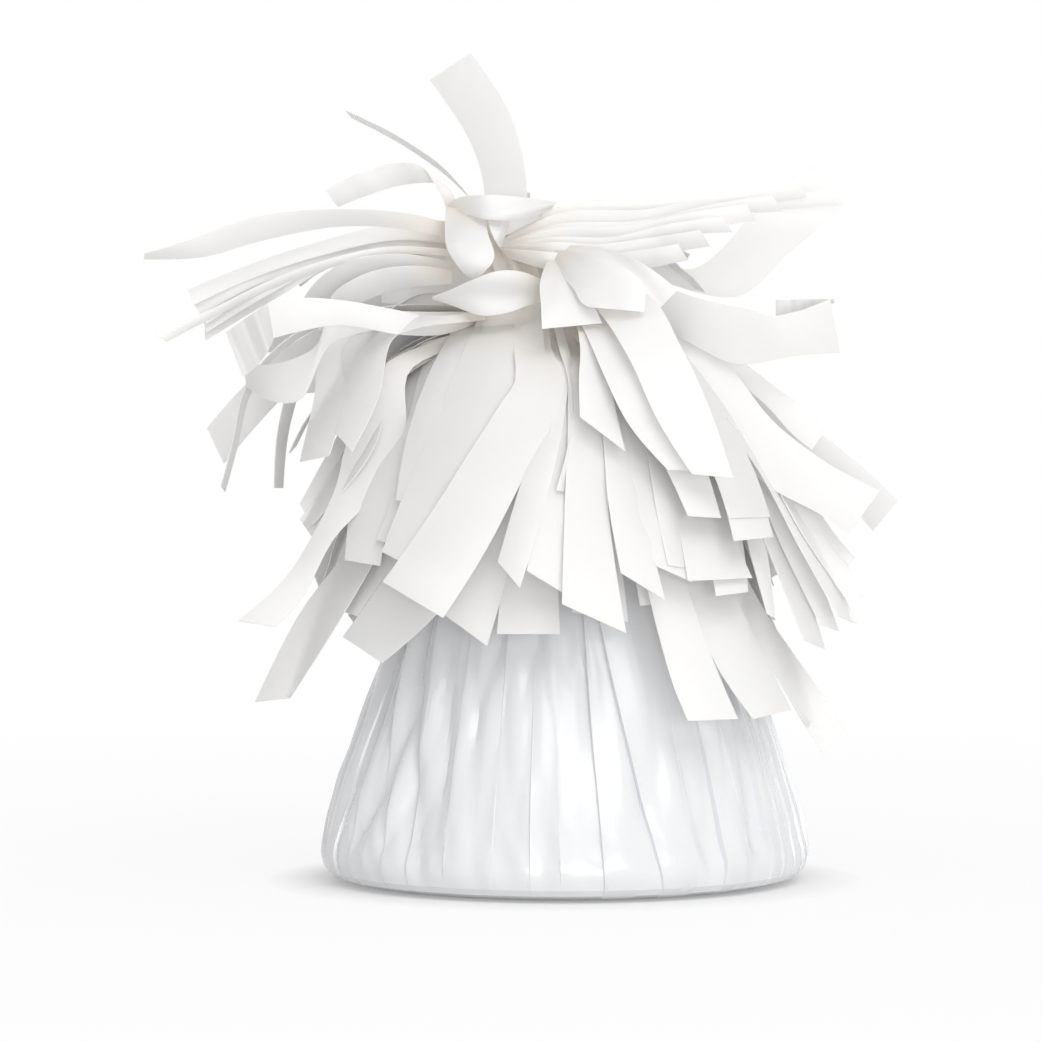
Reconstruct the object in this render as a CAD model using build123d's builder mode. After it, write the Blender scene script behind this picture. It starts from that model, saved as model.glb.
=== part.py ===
from build123d import *
import os
from itertools import pairwise
from math import ceil, cos, pi, radians, sin

# Balloon weight: a cast core inside two film sheets, tied at the neck under a cut film fringe.
# Millimetres and degrees, +Z up, origin at the middle of the foot, -Y towards the front.

# Wrapped base
base_diameter = 70.0  # widest girth of the wrapped base
base_height = 4.5  # height of that girth above the floor
rim_turn_in = 3.0  # how far the edge of the flat foot stands in from the girth
shoulder_diameter = 44.0  # top edge of the cast core under the film
shoulder_height = 46.0
neck_diameter = 13.0  # bunched film at the tie
neck_rise = 15.0  # shoulder to the tie
frill_height = 2.0  # film standing above the tie
frill_diameter = 15.0
wrap_wall = 0.5
liner_wall = 0.4
film_gap = 0.15  # room between one layer and the next
rim_out_share = 0.72  # where the rounded rim bends, from the foot out to the girth
rim_up_share = 0.3  # the same bend, from the floor up to the girth

# Pleats of the outer wrap: wide and narrow knife pleats by turns
pleat_pairs = 12
pleat_depth_share = 0.03  # how far a pleat runs in, of the radius
wide_pleat_share = 0.64  # of one wide and narrow pair
lining_sides = 24  # flats of the liner and of the inside of the wrap
fold_share = 0.12  # the step from one pleat out to the next, of the pair

# Cast core
core_drop = 1.5  # top face below the shoulder
core_bevel = 2.0  # top edge

# Tie
tie_height = 4.0
tie_wall = 0.7
tie_gap = 0.15
tie_tail_length = 9.0  # pinched ends, at the back
tie_tail_width = 3.0

# Gathered film stalk
gather_diameter = 12.0
gather_height = 27.0  # frill to the top of the stalk
gather_lean = 9.5  # how far the top stands to the left
collar_height = 3.0  # frill to the full width of the stalk
flute_count = 12
flute_depth_share = 0.26
seat_gap = 0.25  # strip root to the stalk
top_seat_gap = 0.6  # root of the tall strip to the top of the stalk

# Fringe strips
strip_length = 60.0
strip_width = 6.8
strip_film = 0.3
pinch_width = 1.4  # width of a strip at its root
pinch_length = 17.0  # root to full width
bend_step_angle = 18.0  # turn from one flat facet of a strip to the next
tip_skew = 2.2  # how far one corner of a cut tip falls back
shingle_roll_angle = 9.0  # each strip lies a little over the next
roll_spread_angle = 4.0
launch_spread_angle = 1.2
golden_share = 0.618

# Fringe tiers, from the lowest up: root height as a share of the stalk, launch angle, crown length as a
# share of the strip, crown turn, fall turn, stagger of the ring, and each strip's length as a share of
# strip_length round the ring from the right over the back. A length of 0 is a place that another strip takes.
low_shares = (
    *(1.0, 0.95, 0.92, 0.9, 0.95, 0.9, 0.9, 0.96),
    *(1.08, 1.0, 0.82, 0.7, 0.66, 0.94, 1.02, 1.1),
)
main_shares = (
    *(0.98, 0.9, 0.9, 0.86, 0.92, 0.88, 0.9, 0.82, 0.76),
    *(0.8, 0, 0.86, 0.85, 0.82, 0.84, 0.8, 0.9, 1.0),
)
mantle_shares = (
    *(0, 0.94, 0.94, 0.9, 0.92, 0.96, 0.9, 0.84, 0),
    *(0.62, 0, 0.62, 0.8, 0.84, 0.82, 0.86, 0.9, 0),
)
upper_shares = (0.52, 0, 0.84, 0.9, 0.86, 0.66, 0.5, 0, 0, 0, 0, 0, 0, 0)
crown_shares = (0, 0, 0.7, 0.76, 0.72, 0, 0, 0, 0.5, 0.42, 0.46, 0)
tier_shares = {
    "low": (0.26, 15, 0.24, 75, 12, 0, low_shares),
    "main": (0.41, 15, 0.27, 70, 12, 0.5, main_shares),
    "mantle": (0.56, 22, 0.3, 74, 12, 0, mantle_shares),
    "upper": (0.7, 55, 0.3, 75, 25, 0.5, upper_shares),
    "crown": (0.86, 60, 0.27, 60, 25, 0, crown_shares),
}

# Strips with a bend of their own: root height as a share of the stalk, azimuth, launch angle, crown length
# as a share of strip_length and its turn, fall length share and its turn, and roll. A negative turn curls up.
# First those that hang in a tier, then the spray on the right, then those that stand out by themselves.
own_shares = {
    "main_fringe_left": [(0.41, 210, 19, 0.4, 91, 0.61, -34, 9)],
    "mantle_fringe_right": [
        (0.62, 342, -4, 0.48, 53, 0.45, -38, 9),
        (0.58, 0, -8, 0.33, 28, 0.6, 8, 9),
    ],
    "mantle_fringe_left": [(0.56, 160, 4, 0.35, 25, 0.45, 35, 9)],
    "upper_fringe_front": [
        (0.74, 245, 12, 0.22, 48, 0.1, 20, 9),
        (0.82, 282, 34, 0.24, 95, 0.06, 5, 8),
        (0.65, 288, 6, 0.3, 45, 0.5, 8, 9),
        (0.69, 308, 4, 0.33, 36, 0.5, 22, 9),
        (0.83, 322, 16, 0.3, 52, 0.08, 10, 8),
    ],
    "upper_fringe_left": [
        (0.88, 186, 16, 0.16, 24, 0.53, 16, 22),
        (0.845, 186, 16, 0.16, 25, 0.53, 19, 22),
        (0.81, 186, 16, 0.16, 26, 0.5, 22, 22),
        (0.775, 186, 16, 0.16, 27, 0.44, 24, 22),
        (0.74, 186, 16, 0.16, 28, 0.25, 18, 22),
        (0.76, 215, 25, 0.31, 45, 0.2, 40, 12),
        (0.69, 224, 14, 0.42, 40, 0.14, 60, 12),
    ],
}
spray_shares = [
    (0.8, 343, 17, 0.27, 35, 0.17, -18, 6),
    (0.84, 352, 20, 0.27, 35, 0.26, -18, 6),
    (0.88, 0, 23, 0.27, 35, 0.35, -18, 6),
    (0.92, 8, 26, 0.27, 35, 0.44, -18, 6),
    (0.96, 16, 30, 0.27, 35, 0.53, -14, 6),
]
single_shares = {
    "edge_strip": (0.97, 144, 52, 0.14, 3, 0.26, 3, 4),
    "hook_strip": (0.985, 180, 78, 0.2, 84, 0.2, 26, 14),
    "long_left_strip": (0.93, 200, 24, 0.23, 20, 0.58, 24, 14),
    "folded_left_strip": (0.56, 200, 8, 0.5, 18, 0.23, 100, 8),
    "back_right_strip": (0.7, 38.6, 16, 0.32, 6, 0.42, -36, 10),
    "right_curl_strip": (0.7, 347.1, 14, 0.52, 48, 0.27, -185, 8),
}
tall_shares = (90, 86, 0.2, 6, 0.24, 14, -22)

# Worked out from the sizes above
base_radius = base_diameter / 2
foot_radius = base_radius - rim_turn_in
shoulder_radius = shoulder_diameter / 2
neck_radius = neck_diameter / 2
gather_radius = gather_diameter / 2
neck_height = shoulder_height + neck_rise
tie_top = neck_height + tie_height
wrap_top = tie_top + frill_height
gather_top = wrap_top + gather_height
gather_foot = neck_height - tie_height
core_top = shoulder_height - core_drop
rim_radius = foot_radius + (base_radius - foot_radius) * rim_out_share
rim_height = base_height * rim_up_share

# Outline of the wrapped base as (radius, height), from the foot up
base_outline = [
    (foot_radius, 0),
    (rim_radius, rim_height),
    (base_radius, base_height),
    (shoulder_radius, shoulder_height),
    (neck_radius, neck_height),
    (neck_radius, tie_top),
    (frill_diameter / 2, wrap_top),
]

# A pleat runs in from the full radius by this share, and its flat side cuts the circle by the rest
pleat_flat_share = 1 - cos(pi / pleat_pairs * wide_pleat_share)
pleat_room_share = pleat_depth_share + pleat_flat_share
wrap_inset = wrap_wall
liner_inset = wrap_inset + film_gap
bore_inset = liner_inset + liner_wall
liner_floor = wrap_wall
core_floor = liner_floor + liner_wall
flat_share = cos(pi / lining_sides)  # middle of a flat from the axis, of its corners
gather_root_radius = (neck_radius * (1 - pleat_room_share) - bore_inset) * flat_share - film_gap

os.makedirs("parts", exist_ok=True)


def wobble(number, spread):
    """A steady, uneven offset between -spread and spread for the numbered strip."""
    return spread * (2 * (number * golden_share % 1) - 1)


def lining_radius(radius, inset):
    """Corner radius of the lining at a place where the pleated outline has the given radius."""
    return radius * (1 - pleat_room_share) - inset


def ring_solid(rings):
    """Solid with flat faces from each ring of corners to the next, closed at both ends."""
    faces = [Face(Wire.make_polygon(rings[0])), Face(Wire.make_polygon(rings[-1]))]
    for lower, upper in pairwise(rings):
        for number in range(len(lower)):
            corners = (lower[number - 1], lower[number], upper[number], upper[number - 1])
            faces.append(Face(Wire.make_polygon(corners)))
    return Solid(Shell(faces))


def lining_solid(inset, floor):
    """Solid that follows the base outline in flats, moved in by inset and standing on floor."""
    rings = []
    for radius, height in base_outline:
        reach = lining_radius(radius, inset)
        angles = [radians(360 / lining_sides * number) for number in range(lining_sides)]
        rings.append([(reach * cos(angle), reach * sin(angle), max(height, floor)) for angle in angles])
    return ring_solid(rings)


def core_radius(radius):
    """Radius of the round core inside the flats of the liner."""
    return lining_radius(radius, bore_inset) * flat_share - film_gap


def pleat_ring(radius, height):
    """Corners of one ring of knife pleats: each runs in from the full radius, then steps out again."""
    corners = []
    pair_angle = 360 / pleat_pairs
    spans = (wide_pleat_share, 1 - wide_pleat_share)
    start_share = 0
    for number in range(pleat_pairs * 2):
        span_share = spans[number % 2]
        inner_share = start_share + span_share * (1 - fold_share)
        for turn_share, reach in ((start_share, radius), (inner_share, radius * (1 - pleat_depth_share))):
            angle = radians(pair_angle * turn_share)
            corners.append((reach * cos(angle), reach * sin(angle), height))
        start_share += span_share
    return corners


def flute_ring(radius):
    """Corners of one ring of the gathered stalk: ridges and valleys by turns."""
    corners = []
    for number in range(flute_count * 2):
        angle = radians(180 / flute_count * number)
        reach = radius * (1 - flute_depth_share * (number % 2))
        corners.append((reach * cos(angle), reach * sin(angle)))
    return corners


def stalk_centre(height):
    """Middle of the stalk at a height: it stands straight in the frill and leans left above it."""
    lean_share = max(0, (height - wrap_top) / gather_height)
    return Vector(-gather_lean * lean_share, 0, height)


def stalk_root(root_share, azimuth):
    """Point just off the stalk where a strip starts, at a share of the stalk's height."""
    centre = stalk_centre(wrap_top + gather_height * root_share)
    reach = gather_radius + seat_gap
    return centre + Vector(reach * cos(radians(azimuth)), reach * sin(radians(azimuth)), 0)


def film_strip(root, azimuth, launch, crown, fall, roll, skew):
    """A strip of film in flat facets along two tangent arcs, pinched at its root and cut askew at its tip."""
    crown_length, crown_turn = crown
    fall_length, fall_turn = fall
    outward = (cos(radians(azimuth)), sin(radians(azimuth)), 0)
    level = Vector(sin(radians(azimuth)), -cos(radians(azimuth)), 0)
    across = level * cos(radians(roll)) - Vector(0, 0, sin(radians(roll)))
    side = Plane(root, x_dir=outward, z_dir=across)
    start = (cos(radians(launch)), sin(radians(launch)))
    with BuildLine(mode=Mode.PRIVATE) as spine:
        bend = JernArc((0, 0), start, crown_length / radians(abs(crown_turn)), -crown_turn)
        drop = JernArc(bend @ 1, bend % 1, fall_length / radians(abs(fall_turn)), -fall_turn)
    crown_steps = ceil(abs(crown_turn) / bend_step_angle)
    fall_steps = ceil(abs(fall_turn) / bend_step_angle) + 1
    stations = [(bend, step / crown_steps) for step in range(crown_steps)]
    stations += [(drop, step / fall_steps) for step in range(fall_steps + 1)]
    lift = [Vector(0, 0, strip_film / 2).cross(arc % share) for arc, share in stations]
    upper = [arc @ share + rise for (arc, share), rise in zip(stations, lift)]
    lower = [arc @ share - rise for (arc, share), rise in zip(stations, lift)]
    knee = side.from_local_coords(bend @ min(1, pinch_length / crown_length)) - root
    tip = side.from_local_coords(drop @ 1)
    heading = side.from_local_coords(drop @ 1 + drop % 1) - tip
    short_edge = across if skew > 0 else -across
    setback = abs(skew)
    with BuildPart() as strip:
        with BuildSketch(side):
            with BuildLine():
                Polyline(*upper, *reversed(lower), close=True)
            make_face()
        extrude(amount=strip_width / 2, both=True)
        with BuildSketch(Plane(root, x_dir=knee, z_dir=knee.cross(across))):
            for edge in (-strip_width, strip_width):
                with BuildLine():
                    Polyline(
                        (-pinch_width, edge / strip_width * pinch_width / 2),
                        (0, edge / strip_width * pinch_width / 2),
                        (knee.length, edge / 2),
                        (-pinch_width, edge),
                        close=True,
                    )
                make_face()
        extrude(amount=pinch_length, both=True, mode=Mode.SUBTRACT)
        with BuildSketch(Plane(tip, x_dir=heading, z_dir=heading.cross(short_edge))):
            with BuildLine():
                Polyline(
                    (setback / 2, -strip_width),
                    (setback, strip_width),
                    (-setback * 3 / 2, strip_width),
                    close=True,
                )
            make_face()
        extrude(amount=tip_skew, both=True, mode=Mode.SUBTRACT)
    return strip.part


def single_strip(shares, skew):
    """A strip with a bend of its own, from its row of shares and angles."""
    root_share, azimuth, launch, crown_share, crown_turn, fall_share, fall_turn, roll = shares
    crown = (strip_length * crown_share, crown_turn)
    fall = (strip_length * fall_share, fall_turn)
    return film_strip(stalk_root(root_share, azimuth), azimuth, launch, crown, fall, roll, skew)


def tier_strips(shares):
    """The strips of one tier, sorted by the side they hang on."""
    root_share, launch, crown_share, crown_turn, fall_turn, stagger, length_shares = shares
    sides = {"right": [], "back": [], "left": [], "front": []}
    for number, length_share in enumerate(length_shares):
        if length_share == 0:
            continue
        azimuth = 360 / len(length_shares) * (number + stagger)
        crown = (strip_length * crown_share, crown_turn)
        fall = (strip_length * (length_share - crown_share), fall_turn)
        tilt = launch + wobble(number, launch_spread_angle)
        roll = shingle_roll_angle + wobble(number * 2, roll_spread_angle)
        skew = wobble(number * 3, tip_skew)
        quarter = list(sides)[int((azimuth + 45) // 90) % 4]
        sides[quarter].append(
            film_strip(stalk_root(root_share, azimuth), azimuth, tilt, crown, fall, roll, skew)
        )
    return sides


def export_group(label, strips):
    """Write strips that hang together as one node of separate solids."""
    with BuildPart() as group:
        add(strips)
    group.part.label = label
    export_step(group.part, f"parts/{label}.step")


# Cast core: a round frustum with a bevelled top edge, standing on the liner
with BuildPart() as weight_core:
    climb_share = (core_top - base_height) / (shoulder_height - base_height)
    top_radius = base_radius + (shoulder_radius - base_radius) * climb_share
    with BuildSketch(Plane.XZ):
        with BuildLine():
            Polyline(
                (0, core_floor),
                (core_radius(foot_radius), core_floor),
                (core_radius(rim_radius), rim_height),
                (core_radius(base_radius), base_height),
                (core_radius(top_radius), core_top),
                (0, core_top),
                close=True,
            )
        make_face()
    revolve(axis=Axis.Z)
    chamfer(weight_core.edges().sort_by(Axis.Z)[-1], length=core_bevel)
weight_core.part.label = "weight_core"
export_step(weight_core.part, "parts/weight_core.step")

# Liner: the inner film sheet, drawn up round the core and through the tie
liner_body = lining_solid(liner_inset, liner_floor)
liner_bore = lining_solid(bore_inset, core_floor)
with BuildPart() as liner_sheet:
    add(liner_body)
    add(liner_bore, mode=Mode.SUBTRACT)
liner_sheet.part.label = "liner_sheet"
export_step(liner_sheet.part, "parts/liner_sheet.step")

# Outer wrap: the pleated film sheet, closed under the foot and open at the frill
wrap_body = ring_solid([pleat_ring(radius, height) for radius, height in base_outline])
wrap_cavity = lining_solid(wrap_inset, liner_floor)
with BuildPart() as outer_wrap:
    add(wrap_body)
    add(wrap_cavity, mode=Mode.SUBTRACT)
outer_wrap.part.label = "outer_wrap"
export_step(outer_wrap.part, "parts/outer_wrap.step")

# Tie: a flat band round the neck, its two ends pinched together at the back
with BuildPart() as neck_tie:
    band_radius = neck_radius + tie_gap
    with BuildSketch(Plane.XY.offset(neck_height)):
        Circle(band_radius + tie_wall)
        Circle(band_radius, mode=Mode.SUBTRACT)
    extrude(amount=tie_height)
    with BuildSketch(Plane.XY.offset(neck_height + (tie_height - tie_tail_width) / 2)):
        with Locations((0, band_radius + tie_wall / 2)):
            Rectangle(tie_wall * 2, tie_tail_length, align=(Align.CENTER, Align.MIN))
    extrude(amount=tie_tail_width)
neck_tie.part.label = "neck_tie"
export_step(neck_tie.part, "parts/neck_tie.step")

# Gathered stalk: the bunched film above the tie, fluted, leaning to the left
with BuildPart() as neck_gather:
    stalk_rings = [
        (gather_root_radius, gather_foot),
        (gather_root_radius, wrap_top),
        (gather_radius, wrap_top + collar_height),
        (gather_radius, gather_top),
    ]
    for ring_radius, ring_height in stalk_rings:
        with BuildSketch(Plane(stalk_centre(ring_height))):
            with BuildLine():
                Polyline(*flute_ring(ring_radius), close=True)
            make_face()
    loft(ruled=True)
neck_gather.part.label = "neck_gather"
export_step(neck_gather.part, "parts/neck_gather.step")

# Fringe tiers, one node for each side of each tier
for tier, shares in tier_shares.items():
    for quarter, strips in tier_strips(shares).items():
        label = f"{tier}_fringe_{quarter}"
        strips += [single_strip(row, tip_skew) for row in own_shares.get(label, [])]
        if strips:
            export_group(label, strips)

# Right spray: strips that lie over each other like a fan
export_group("right_spray", [single_strip(row, tip_skew) for row in spray_shares])

# Single strips
for label, row in single_shares.items():
    single = single_strip(row, tip_skew)
    single.label = label
    export_step(single, f"parts/{label}.step")

# Tall strip: stands on top of the stalk
azimuth, launch, crown_share, crown_turn, fall_share, fall_turn, roll = tall_shares
tall_strip = film_strip(
    stalk_centre(gather_top) + Vector(0, 0, top_seat_gap),
    azimuth,
    launch,
    (strip_length * crown_share, crown_turn),
    (strip_length * fall_share, fall_turn),
    roll,
    tip_skew,
)
tall_strip.label = "tall_strip"
export_step(tall_strip, "parts/tall_strip.step")
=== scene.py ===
"""Balloon weight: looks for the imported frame.

Metres, +Z up, origin at the middle of the foot, -Y to the front.
"""

import itertools
import math

import bpy
import numpy as np
from mathutils import Matrix


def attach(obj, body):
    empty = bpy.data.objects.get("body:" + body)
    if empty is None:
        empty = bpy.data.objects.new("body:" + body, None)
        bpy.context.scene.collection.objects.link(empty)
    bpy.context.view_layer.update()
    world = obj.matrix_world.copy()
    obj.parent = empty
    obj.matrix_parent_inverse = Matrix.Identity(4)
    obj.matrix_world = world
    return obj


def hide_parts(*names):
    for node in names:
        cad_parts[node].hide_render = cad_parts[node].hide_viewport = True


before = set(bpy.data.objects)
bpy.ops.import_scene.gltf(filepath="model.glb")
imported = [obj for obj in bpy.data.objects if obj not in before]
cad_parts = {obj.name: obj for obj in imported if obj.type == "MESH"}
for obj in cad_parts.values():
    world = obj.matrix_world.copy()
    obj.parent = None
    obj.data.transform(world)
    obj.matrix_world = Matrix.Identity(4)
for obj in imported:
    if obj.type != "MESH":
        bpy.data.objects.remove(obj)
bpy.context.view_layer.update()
MM = 0.001

# Camera, worked out from the picture: one pixel at the foot's distance, and where the foot's middle lies.
PHOTO_SIZE = 1042
PIXEL = 0.0001423
CAMERA_DISTANCE = 0.85
FOOT_PIXEL = (564.0, 879.0)
FOOT_ELEVATION = math.radians(6.0)
MIDDLE = PHOTO_SIZE / 2
TILT = FOOT_ELEVATION - math.atan((FOOT_PIXEL[1] - MIDDLE) * PIXEL / CAMERA_DISTANCE)
FORWARD = np.array((0.0, math.cos(TILT), -math.sin(TILT)))
RIGHT = np.array((1.0, 0.0, 0.0))
UP = np.cross(RIGHT, FORWARD)
EYE = (
    -FORWARD * CAMERA_DISTANCE
    - RIGHT * (FOOT_PIXEL[0] - MIDDLE) * PIXEL
    + UP * (FOOT_PIXEL[1] - MIDDLE) * PIXEL
)

# Stalk and strips, as in the frame, then the film's thickness and how far a strip bows across its width
WRAP_TOP = 67 * MM
GATHER_HEIGHT = 27 * MM
GATHER_LEAN = 9.5 * MM
ROOT_REACH = 6.25 * MM
STRIP_LENGTH = 60 * MM
STRIP_WIDTH = 6.8 * MM
PINCH_LENGTH = 17 * MM
ROOT_WIDTH = 0.21  # of the full width, where a strip leaves the stalk
TIP_SKEW = 0.35  # of the width, how far the cut at the tip may slant
FILM = 0.13 * MM
CUP = 0.25 * MM

# Tiers of the fringe, as in the frame: root share, launch, crown share, crown turn, fall turn, stagger, and
# length shares round the ring from the right over the back
LOW_LENGTHS = (1.0, 0.95, 0.92, 0.9, 0.95, 0.9, 0.9, 0.96, 1.08, 1.0, 0.82, 0.7, 0.66, 0.94, 1.02, 1.1)
MAIN_LENGTHS = (
    *(0.98, 0.9, 0.9, 0.86, 0.92, 0.88, 0.9, 0.82, 0.76),
    *(0.8, 0, 0.86, 0.85, 0.82, 0.84, 0.8, 0.9, 1.0),
)
MANTLE_LENGTHS = (
    *(0, 0.94, 0.94, 0.9, 0.92, 0.96, 0.9, 0.84, 0),
    *(0.62, 0, 0.62, 0.8, 0.84, 0.82, 0.86, 0.9, 0),
)
UPPER_LENGTHS = (0.52, 0, 0.84, 0.9, 0.86, 0.66, 0.5, 0, 0, 0, 0, 0, 0, 0)
CROWN_LENGTHS = (0, 0, 0.7, 0.76, 0.72, 0, 0, 0, 0.5, 0.42, 0.46, 0)
RINGS = {
    "low": (0.26, 15, 0.24, 75, 12, 0, LOW_LENGTHS),
    "main": (0.41, 15, 0.27, 70, 12, 0.5, MAIN_LENGTHS),
    "mantle": (0.56, 22, 0.3, 74, 12, 0, MANTLE_LENGTHS),
    "upper": (0.7, 55, 0.3, 75, 25, 0.5, UPPER_LENGTHS),
    "crown": (0.86, 60, 0.27, 60, 25, 0, CROWN_LENGTHS),
}
# Strips of the frame with a bend of their own: root share, azimuth, launch, crown share and turn, and fall
# share and turn. The traced strips of the same names take their depth from them.
BENDS = {
    "LL1": (0.41, 210, 19, 0.4, 91, 0.61, -34),
    "R1": (0.62, 342, -4, 0.48, 53, 0.45, -38),
    "R2": (0.58, 0, -8, 0.33, 28, 0.6, 8),
    "L6": (0.56, 160, 4, 0.35, 25, 0.45, 35),
    "L1a": (0.88, 186, 16, 0.16, 24, 0.53, 16),
    "L1b": (0.845, 186, 16, 0.16, 25, 0.53, 19),
    "L1c": (0.81, 186, 16, 0.16, 26, 0.5, 22),
    "L1d": (0.775, 186, 16, 0.16, 27, 0.44, 24),
    "L1e": (0.74, 186, 16, 0.16, 28, 0.25, 18),
}

# Depth where a traced strip leaves the stalk, and the share of its length until it lies on its tier
ROOT_DEPTH = -6.5 * MM
ROOT_SHARE = 0.16
# Search for the front of a tier: first guess, number of rounds, share kept in each, and the least depth kept
# at the tier's sides as a share of its radius
FIRST_DEPTH = -20 * MM
DEPTH_ROUNDS = 24
DEPTH_KEPT = 0.6
SIDE_SHARE = 0.3

rng = np.random.default_rng(7)


def spot(px, py, depth):
    """Points on the rays of the given pixels where y is depth."""
    px, py, depth = np.broadcast_arrays(px, py, depth)
    rays = (
        FORWARD * CAMERA_DISTANCE
        + (px[..., None] - MIDDLE) * PIXEL * RIGHT
        - (py[..., None] - MIDDLE) * PIXEL * UP
    )
    reach = (depth - EYE[1]) / rays[..., 1]
    return EYE + rays * reach[..., None]


def pixel_of(points):
    """Pixels where points show."""
    rel = points - EYE
    share = CAMERA_DISTANCE / (rel @ FORWARD) / PIXEL
    return MIDDLE + (rel @ RIGHT) * share, MIDDLE - (rel @ UP) * share


def bend_line(row):
    """Middle line of one of the frame's strips, in metres."""
    root_share, azimuth, launch, crown_share, crown_turn, fall_share, fall_turn = row
    turn = math.radians(azimuth)
    out = np.array((math.cos(turn), math.sin(turn), 0))
    crown, fall = STRIP_LENGTH * crown_share, STRIP_LENGTH * fall_share
    s = np.linspace(0, crown + fall, 80)
    heading = np.where(s < crown, s / crown * crown_turn, crown_turn + (s - crown) / fall * fall_turn)
    heading = np.radians(launch - heading)
    way = np.cos(heading)[:, None] * out + np.sin(heading)[:, None] * np.array((0, 0, 1.0))
    steps = (way[1:] + way[:-1]) / 2 * np.diff(s)[:, None]
    root = np.array((-GATHER_LEAN * root_share, 0, WRAP_TOP + GATHER_HEIGHT * root_share)) + ROOT_REACH * out
    return root + np.concatenate([np.zeros((1, 3)), np.cumsum(steps, axis=0)])


def tier_depth(px, py, tier):
    """Depth at which the rays of the given pixels meet the front of a hanging tier."""
    root_share, launch, crown_share, crown_turn, fall_turn = RINGS[tier][:5]
    axis = -GATHER_LEAN * root_share
    line = bend_line((root_share, 0, launch, crown_share, crown_turn, 0.8, fall_turn))
    crest = int(np.argmax(line[:, 2]))
    heights, reaches = line[crest:, 2][::-1], line[crest:, 0][::-1] - axis
    depth = np.full(np.shape(px), FIRST_DEPTH)
    for _ in range(DEPTH_ROUNDS):
        p = spot(px, py, depth)
        radius = np.interp(p[..., 2], heights, reaches)
        room = radius**2 - (p[..., 0] - axis) ** 2
        front = -np.sqrt(np.maximum(room, (SIDE_SHARE * radius) ** 2))
        depth = DEPTH_KEPT * depth + (1 - DEPTH_KEPT) * front
    return depth


def bend_depth(px, py, row):
    """Depth of the frame's own strip where it shows nearest to each station's pixels."""
    line = bend_line(row)
    line_x, line_y = pixel_of(line)
    middle_x, middle_y = px.mean(axis=1), py.mean(axis=1)
    near = np.argmin(np.hypot(line_x - middle_x[:, None], line_y - middle_y[:, None]), axis=1)
    depth = line[near, 1]
    for _ in range(3):
        depth[1:-1] = (depth[:-2] + depth[1:-1] + depth[2:]) / 3
    return np.repeat(depth[:, None], px.shape[1], axis=1)


def through(values, at):
    """Smooth curve through rows of values, at places from 0 to 1 by distance of the first columns."""
    values = np.asarray(values, float)
    if len(values) == 2:
        return values[0] + (values[1] - values[0]) * at[:, None]
    middle = (values[:, 0:2] + values[:, 2:4]) / 2 if values.shape[1] >= 4 else values
    knots = np.concatenate([[0], np.cumsum(np.linalg.norm(np.diff(middle, axis=0), axis=1) + 1e-9)])
    knots /= knots[-1]
    slope = np.empty_like(values)
    span = np.diff(knots)[:, None]
    rise = np.diff(values, axis=0) / span
    slope[1:-1] = (rise[:-1] * span[1:] + rise[1:] * span[:-1]) / (span[:-1] + span[1:])
    slope[0] = 1.5 * rise[0] - 0.5 * slope[1]
    slope[-1] = 1.5 * rise[-1] - 0.5 * slope[-2]
    i = np.clip(np.searchsorted(knots, at, side="right") - 1, 0, len(knots) - 2)
    h = span[i]
    t = ((at - knots[i]) / span[i, 0])[:, None]
    return (
        (1 + 2 * t) * (1 - t) ** 2 * values[i]
        + t * (1 - t) ** 2 * h * slope[i]
        + t * t * (3 - 2 * t) * values[i + 1]
        + t * t * (t - 1) * h * slope[i + 1]
    )


# Points along and across a strip, and how deep its waves are in mm
STATIONS = 30
COLUMNS = 9
STRIP_WAVE = 0.22
FOLD_WAVE = 0.5
EDGE_WAVE = 0.03
SPRAY_WAVE = 0.35
RING_WAVE = 0.3
ALONG = np.linspace(0, 1, STATIONS)
ACROSS = np.linspace(0, 1, COLUMNS)


def crinkle(size, folded):
    """Uneven, soft film waves over the stations and columns of one strip; along it where it is folded."""
    wave = np.zeros((STATIONS, COLUMNS))
    for turns, share, slant in ((1.3, 1.0, 4.0), (2.9, 0.5, 7.0), (6.1, 0.22, 10.0)):
        lean, phase = rng.uniform(-1.5, 1.5), rng.uniform(0, 2 * math.pi)
        if folded:
            turns, lean = turns * 0.25, slant + lean
        wave += share * np.sin(2 * math.pi * turns * ALONG[:, None] + lean * (ACROSS - 0.5) + phase)
    return wave * size * np.minimum(1, ALONG * 4)[:, None]


def traced_strip(rows, tier, layer, turn, depths, wave, bend=None, folded=False):
    """Grid of a strip whose two edges follow rows of pixels from root to tip.

    A row is x, y on one edge and x, y on the other.
    """
    edges = through(rows, ALONG)
    px = edges[:, None, 0] + (edges[:, None, 2] - edges[:, None, 0]) * ACROSS
    py = edges[:, None, 1] + (edges[:, None, 3] - edges[:, None, 1]) * ACROSS
    if bend is not None:
        depth = bend_depth(px, py, bend)
    elif depths is None:
        depth = tier_depth(px, py, tier)
        start = np.clip(ALONG / ROOT_SHARE, 0, 1)[:, None]
        depth = ROOT_DEPTH * (1 - start) + depth * start
    else:
        table = np.column_stack([np.asarray(rows, float), np.asarray(depths, float) * MM])
        depth = np.repeat(through(table, ALONG)[:, 4:5], COLUMNS, axis=1)
    ramp = np.minimum(1, ALONG * 3)[:, None]
    bow = 1 - (2 * ACROSS - 1) ** 2
    shape = (turn * MM * (ACROSS - 0.5) - CUP * bow) * ramp
    return spot(px, py, depth - layer * MM + shape + crinkle(wave * MM, folded))


def stalk_root(root_share, azimuth):
    """Point on the leaning stalk where a strip starts."""
    height = WRAP_TOP + GATHER_HEIGHT * root_share
    across = -GATHER_LEAN * root_share + ROOT_REACH * math.cos(azimuth)
    return np.array((across, ROOT_REACH * math.sin(azimuth), height))


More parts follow.
